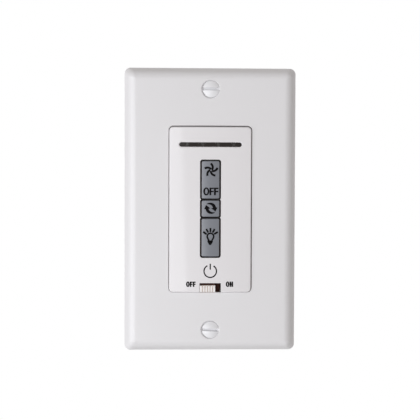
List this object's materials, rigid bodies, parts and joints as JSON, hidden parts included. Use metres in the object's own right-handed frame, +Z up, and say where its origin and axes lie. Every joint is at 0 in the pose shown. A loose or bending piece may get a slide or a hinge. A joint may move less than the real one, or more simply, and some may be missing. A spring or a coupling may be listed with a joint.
{
  "type": "fan wall control",
  "caption": "Wall control for a ceiling fan and its light: bevelled cover plate, light bar, rocker key, press keys and a small off slider on a strap with a rear case.",
  "frame": {"origin": "centre of the plate on the wall plane, where the plate's back rim lies", "axes": "+X to the right as seen from the room, +Y into the wall, +Z up; the face looks along -Y"},
  "size_m": [0.0692, 0.0325, 0.1142],
  "materials": {
    "plate_white": "gloss",
    "insert_white": "gloss",
    "screw_white": "gloss",
    "yoke_steel": "zinc plated",
    "screw_steel": "zinc plated",
    "retainer_fibre": "matte",
    "ground_green": "satin",
    "smoked_lens": "gloss",
    "led_clear": "gloss",
    "key_grey": "satin",
    "knob_white": "satin",
    "switch_black": "matte",
    "board_green": "satin",
    "chip_black": "matte",
    "tin_can": "satin",
    "film_yellow": "satin",
    "varistor_blue": "satin",
    "fuse_brown": "satin",
    "choke_copper": "enamelled",
    "case_black": "fine texture"
  },
  "bodies": {
    "control": {"wall_plate": "plate_white", "plate_screws": "screw_white", "mounting_yoke": "yoke_steel", "box_screws": "screw_steel", "screw_retainers": "retainer_fibre", "ground_screw": "ground_green", "control_face": "insert_white", "light_bar_lens": "smoked_lens", "indicator_leds": "led_clear", "tact_switch_bodies": "switch_black", "airgap_switch_body": "switch_black", "control_board": "board_green", "board_screws": "screw_steel", "control_chip": "chip_black", "crystal": "tin_can", "chip_resistors": "chip_black", "rear_case": "case_black", "case_screws": "screw_steel", "power_board": "board_green", "power_board_screws": "screw_steel", "film_capacitor": "film_yellow", "electrolytic_capacitor": "tin_can", "varistor": "varistor_blue", "fuse": "fuse_brown", "triac": "chip_black", "choke": "choke_copper", "bridge_rectifier": "chip_black", "board_link": "chip_black"},
    "fan_key": {"fan_rocker": "key_grey"},
    "upper_fan_switch": {"fan_plunger_upper": "switch_black"},
    "lower_fan_switch": {"fan_plunger_lower": "switch_black"},
    "reverse_key": {"reverse_button": "key_grey", "reverse_plunger": "switch_black"},
    "light_key": {"light_button": "key_grey", "light_plunger": "switch_black"},
    "airgap_slider": {"airgap_knob": "knob_white", "airgap_switch_post": "switch_black"}
  },
  "joints": [
    {"name": "fan_rocker_tip", "type": "hinge", "parent": "control", "child": "fan_key", "pos_m": [0, -0.0042, 0.0121], "axis": [1, 0, 0], "range_deg": [-3, 3], "stiffness_Nm_per_rad": 0.15},
    {"name": "upper_fan_switch_press", "type": "slide", "parent": "control", "child": "upper_fan_switch", "axis": [0, 1, 0], "range_m": [-0.0003, 0.0003]},
    {"name": "lower_fan_switch_press", "type": "slide", "parent": "control", "child": "lower_fan_switch", "axis": [0, 1, 0], "range_m": [-0.0003, 0.0003]},
    {"name": "reverse_press", "type": "slide", "parent": "control", "child": "reverse_key", "axis": [0, 1, 0], "range_m": [0, 0.00035], "stiffness_N_per_m": 1000, "springref_m": -0.001},
    {"name": "light_press", "type": "slide", "parent": "control", "child": "light_key", "axis": [0, 1, 0], "range_m": [0, 0.00035], "stiffness_N_per_m": 1000, "springref_m": -0.001},
    {"name": "airgap_slide", "type": "slide", "parent": "control", "child": "airgap_slider", "axis": [1, 0, 0], "range_m": [0, 0.0021]}
  ],
  "couplings": [
    {"joint": "upper_fan_switch_press", "follows": "fan_rocker_tip", "m_per_rad": -0.0052},
    {"joint": "lower_fan_switch_press", "follows": "fan_rocker_tip", "m_per_rad": 0.0052}
  ]
}
